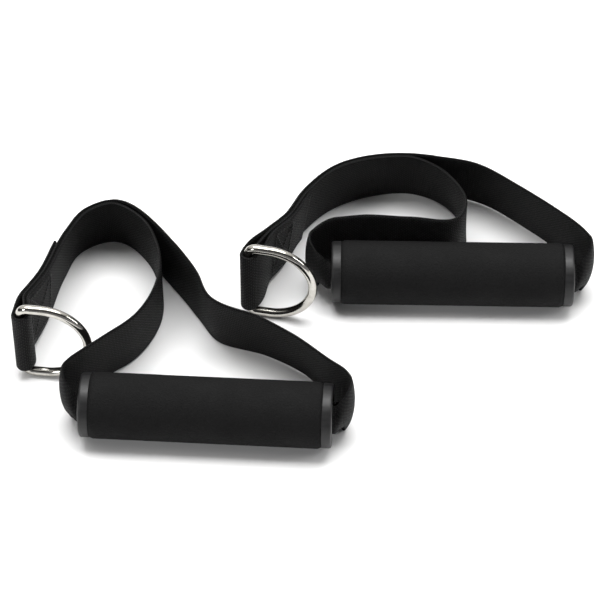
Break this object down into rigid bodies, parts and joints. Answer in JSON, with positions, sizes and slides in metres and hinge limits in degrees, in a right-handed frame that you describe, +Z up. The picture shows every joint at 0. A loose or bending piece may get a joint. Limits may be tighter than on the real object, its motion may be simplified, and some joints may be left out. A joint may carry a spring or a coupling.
{
  "type": "resistance band handles",
  "caption": "Pair of exercise handles for a resistance band: foam grip on a tube, a webbing loop through it, and a D-ring sewn into the webbing's end.",
  "frame": {"origin": "on the surface that the pair lies on, at the middle of the pair's footprint", "axes": "+Z up, +X along the pair and nearly along the grips, +Y away from the front handle's grip towards its webbing loop"},
  "size_m": [0.2943, 0.1918, 0.0505],
  "materials": {
    "webbing": "woven nylon",
    "thread": "bonded thread",
    "nickel": "polished nickel plate",
    "foam": "matt closed-cell foam",
    "tube": "plain",
    "cap": "satin"
  },
  "bodies": {
    "strap_a": {"webbing_a": "webbing", "stitching_a": "thread"},
    "ring_a": {"d_ring_a": "nickel"},
    "grip_a": {"foam_grip_a": "foam", "core_tube_a": "tube", "end_cap_left_a": "cap", "end_cap_right_a": "cap"},
    "strap_b": {"webbing_b": "webbing", "stitching_b": "thread"},
    "ring_b": {"d_ring_b": "nickel"},
    "grip_b": {"foam_grip_b": "foam", "core_tube_b": "tube", "end_cap_left_b": "cap", "end_cap_right_b": "cap"}
  },
  "joints": [
    {"name": "grip_a_spin", "type": "hinge", "parent": "strap_a", "child": "grip_a", "pos_m": [-0.0497, -0.07625, 0.0165], "axis": [0.9981, -0.061, 0], "continuous": true},
    {"name": "ring_a_swing", "type": "hinge", "parent": "strap_a", "child": "ring_a", "pos_m": [-0.14227, -0.03693, 0.025], "axis": [0, 0, 1], "range_deg": [-5, 58]},
    {"name": "handle_b_lift", "type": "slide", "parent": "strap_a", "child": "strap_b", "axis": [0, 0, 1], "range_m": [0, 0.1]},
    {"name": "grip_b_spin", "type": "hinge", "parent": "strap_b", "child": "grip_b", "pos_m": [0.0746, 0.01715, 0.0165], "axis": [0.9998, -0.0209, 0], "continuous": true},
    {"name": "ring_b_swing", "type": "hinge", "parent": "strap_b", "child": "ring_b", "pos_m": [-0.02967, 0.00513, 0.025], "axis": [0, 0, 1], "range_deg": [-55, 15]}
  ]
}
